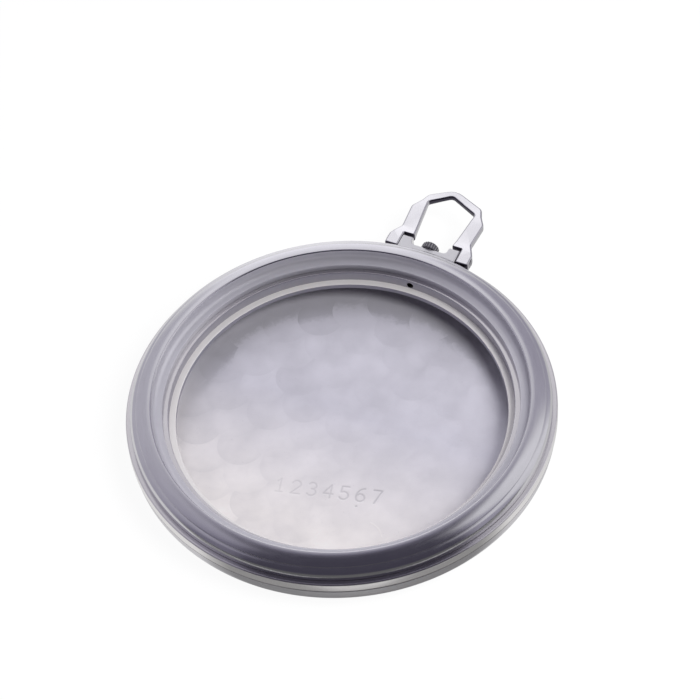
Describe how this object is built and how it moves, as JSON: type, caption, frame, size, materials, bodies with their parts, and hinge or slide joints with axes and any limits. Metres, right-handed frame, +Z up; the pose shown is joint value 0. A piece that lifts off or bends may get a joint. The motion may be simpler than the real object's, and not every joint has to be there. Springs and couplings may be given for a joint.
{
  "type": "pocket watch case",
  "caption": "Thin open-face pocket watch case: snap back, middle and bezel, soldered pendant bridge with tube, and a hinged bow for a chain.",
  "frame": {"origin": "centre of the flat that the back lies on", "axes": "+Z up through the front opening, +Y towards the pendant and bow, +X to the right seen from the front"},
  "size_m": [0.0483, 0.0586, 0.007],
  "materials": {
    "back_steel": "satin inside, brushed outside",
    "middle_steel": "polished with fine turning marks",
    "bezel_steel": "polished and worn",
    "bridge_steel": "satin",
    "tube_steel": "knurled and darkened",
    "bow_steel": "polished",
    "screw_steel": "turned"
  },
  "bodies": {
    "back": {"case_back": "back_steel"},
    "middle": {"case_middle": "middle_steel", "pendant_bridge": "bridge_steel", "pendant_tube": "tube_steel", "bow_screw_left": "screw_steel", "bow_screw_right": "screw_steel"},
    "bezel": {"bezel": "bezel_steel"},
    "bow": {"bow": "bow_steel"}
  },
  "joints": [
    {"name": "back_snap", "type": "slide", "parent": "back", "child": "middle", "axis": [0, 0, 1], "range_m": [0, 0.0016]},
    {"name": "bezel_snap", "type": "slide", "parent": "middle", "child": "bezel", "axis": [0, 0, 1], "range_m": [0, 0.0012]},
    {"name": "bow_hinge", "type": "hinge", "parent": "middle", "child": "bow", "pos_m": [0, 0.025, 0.0043], "axis": [1, 0, 0], "range_deg": [-98, 106]}
  ]
}
